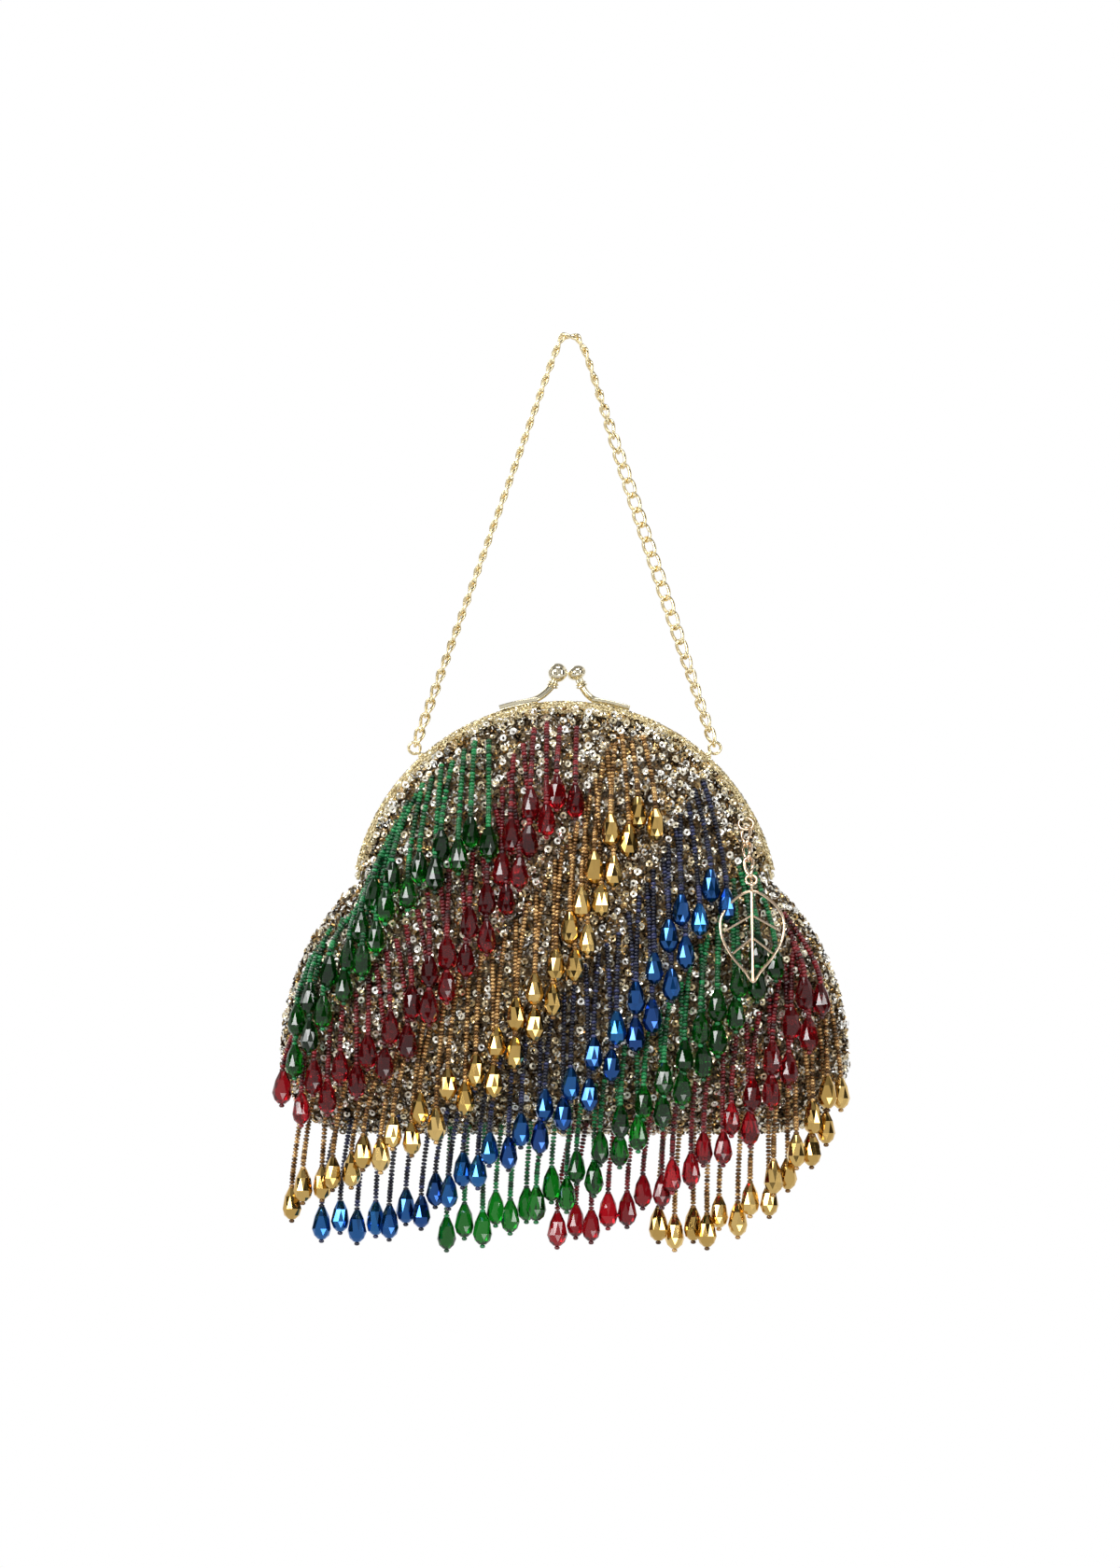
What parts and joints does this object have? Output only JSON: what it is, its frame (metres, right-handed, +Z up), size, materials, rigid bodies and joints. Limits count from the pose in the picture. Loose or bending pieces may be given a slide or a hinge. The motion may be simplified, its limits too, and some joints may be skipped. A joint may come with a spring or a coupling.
{
  "type": "beaded potli bag",
  "caption": "Soft sequinned pouch in an arched kiss-lock frame, with a curb chain handle, diagonal bands of bead fringe ending in faceted drops, and a wire leaf charm.",
  "frame": {"origin": "the underside of whatever holds the bag up: the top of the chain handle, where it hangs", "axes": "+Z up, the beaded front faces -Y, the wearer's view of the front has +X to the right"},
  "size_m": [0.2361, 0.0711, 0.374],
  "materials": {
    "sequin_cloth": "cloth covered with champagne and pale gold ring sequins over a dark tangle of bugles and crumbs",
    "sequins": "metallised ring sequins, champagne to pale gold, tilted every way",
    "frame_metal": "pale gold frame with a glittering woven strip along its face",
    "clasp_metal": "polished pale gold plating",
    "chain_metal": "polished light gold plating",
    "charm_metal": "polished rose gold wire",
    "green_beads": "emerald glass seed beads",
    "green_drops": "faceted bottle green glass drops",
    "red_beads": "deep red glass seed beads",
    "red_drops": "faceted garnet glass drops",
    "gold_beads": "bronze lustre seed beads",
    "gold_drops": "faceted drops with a bright gold mirror coat",
    "blue_beads": "navy lustre seed beads",
    "blue_drops": "faceted drops with a metallic blue coat"
  },
  "bodies": {
    "root": {"pouch": "sequin_cloth", "frame_front": "frame_metal", "frame_back": "frame_metal", "hinge_rivet_left": "clasp_metal", "hinge_rivet_right": "clasp_metal", "clasp_left": "clasp_metal", "clasp_right": "clasp_metal", "chain_ear_left": "chain_metal", "chain_ear_right": "chain_metal", "chain_left": "chain_metal", "chain_right": "chain_metal", "fringe_green_upper": "green_beads", "fringe_red_upper": "red_beads", "fringe_gold_upper": "gold_beads", "fringe_blue": "blue_beads", "fringe_green_lower": "green_beads", "fringe_red_lower": "red_beads", "fringe_gold_lower": "gold_beads", "charm_chain": "charm_metal", "charm_leaf": "charm_metal"}
  },
  "joints": []
}
